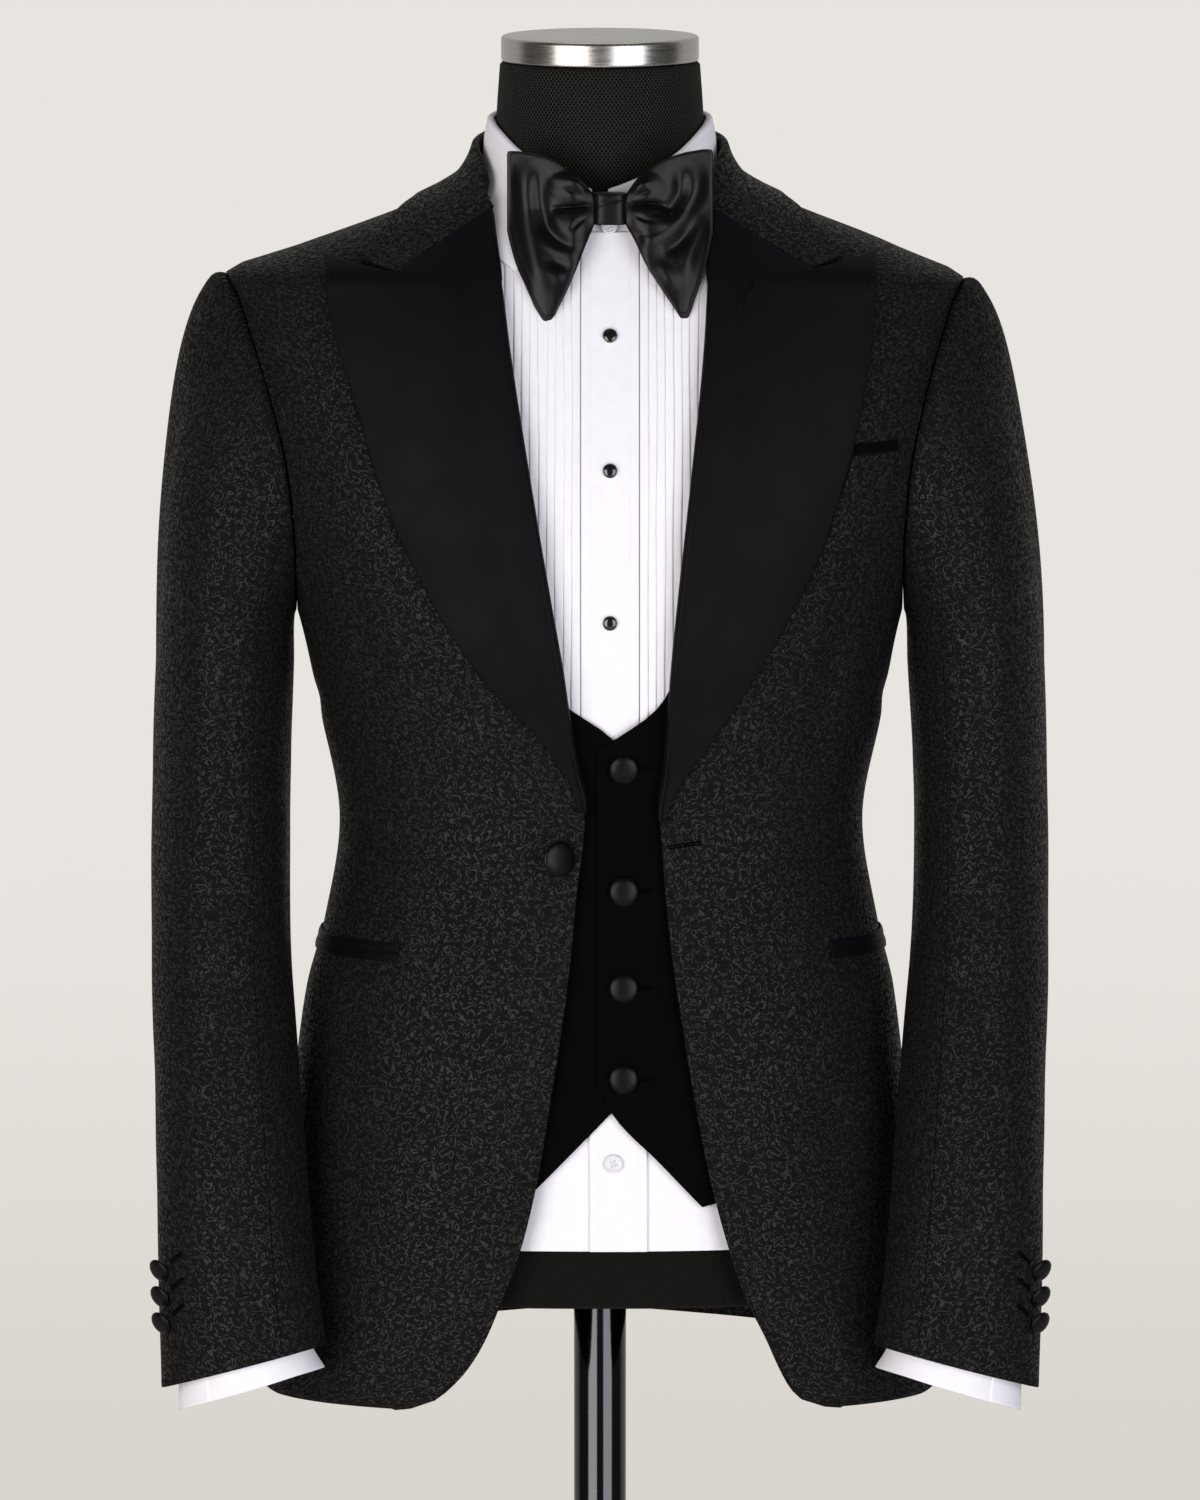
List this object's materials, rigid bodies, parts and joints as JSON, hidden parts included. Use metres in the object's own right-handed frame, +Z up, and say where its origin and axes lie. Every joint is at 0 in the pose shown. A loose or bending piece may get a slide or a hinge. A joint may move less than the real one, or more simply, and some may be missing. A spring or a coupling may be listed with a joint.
{
  "type": "dinner suit jacket set on a dress form",
  "caption": "Peak-lapel dinner jacket worn open over a waistcoat, pleated shirt and butterfly bow tie, on a limbless dress form with pole and disc base.",
  "frame": {"origin": "centre of the underside of the disc base, on the floor", "axes": "+Z up along the pole, -Y towards the front of the garment, +X towards the wearer's left"},
  "size_m": [0.5466, 0.37, 1.5],
  "materials": {
    "jacket_brocade": "matt black figured cloth with a fine raised scroll",
    "black_satin": "satin",
    "waistcoat_wool": "matt, plain fine wool",
    "shirt_cotton": "matt, plain fine cotton",
    "bow_silk": "glossy silk satin",
    "stud_black": "gloss",
    "pearl": "semi-gloss",
    "form_jersey": "matt, fine textured jersey",
    "brushed_steel": "brushed round the rim",
    "polished_steel": "polished"
  },
  "bodies": {
    "root": {"base": "polished_steel", "bib_left": "shirt_cotton", "bib_right": "shirt_cotton", "bow_band": "bow_silk", "bow_knot": "bow_silk", "bow_wing_left": "bow_silk", "bow_wing_right": "bow_silk", "breast_pocket_mouth": "black_satin", "breast_welt": "jacket_brocade", "cuff_button_left_1": "black_satin", "cuff_button_left_2": "black_satin", "cuff_button_left_3": "black_satin", "cuff_button_right_1": "black_satin", "cuff_button_right_2": "black_satin", "cuff_button_right_3": "black_satin", "form_torso": "form_jersey", "hip_jet_lower_left": "black_satin", "hip_jet_lower_right": "black_satin", "hip_jet_upper_left": "black_satin", "hip_jet_upper_right": "black_satin", "jacket_back_left": "jacket_brocade", "jacket_back_right": "jacket_brocade", "jacket_button": "black_satin", "jacket_collar": "jacket_brocade", "jacket_front_left": "jacket_brocade", "jacket_front_right": "jacket_brocade", "jacket_side_left": "jacket_brocade", "jacket_side_right": "jacket_brocade", "lapel_left": "black_satin", "lapel_right": "black_satin", "neck_cap": "brushed_steel", "placket": "shirt_cotton", "pole": "polished_steel", "shirt_back": "shirt_cotton", "shirt_button_low": "pearl", "shirt_collar_fall": "shirt_cotton", "shirt_collar_stand": "shirt_cotton", "shirt_cuff_left": "shirt_cotton", "shirt_cuff_right": "shirt_cotton", "shirt_front_left": "shirt_cotton", "shirt_front_right": "shirt_cotton", "shirt_sleeve_left": "shirt_cotton", "shirt_sleeve_right": "shirt_cotton", "stud_1": "stud_black", "stud_2": "stud_black", "stud_3": "stud_black", "top_sleeve_left": "jacket_brocade", "top_sleeve_right": "jacket_brocade", "under_sleeve_left": "jacket_brocade", "under_sleeve_right": "jacket_brocade", "waistcoat_back": "waistcoat_wool", "waistcoat_button_1": "black_satin", "waistcoat_button_2": "black_satin", "waistcoat_button_3": "black_satin", "waistcoat_button_4": "black_satin", "waistcoat_front_left": "waistcoat_wool", "waistcoat_front_right": "waistcoat_wool"}
  },
  "joints": []
}
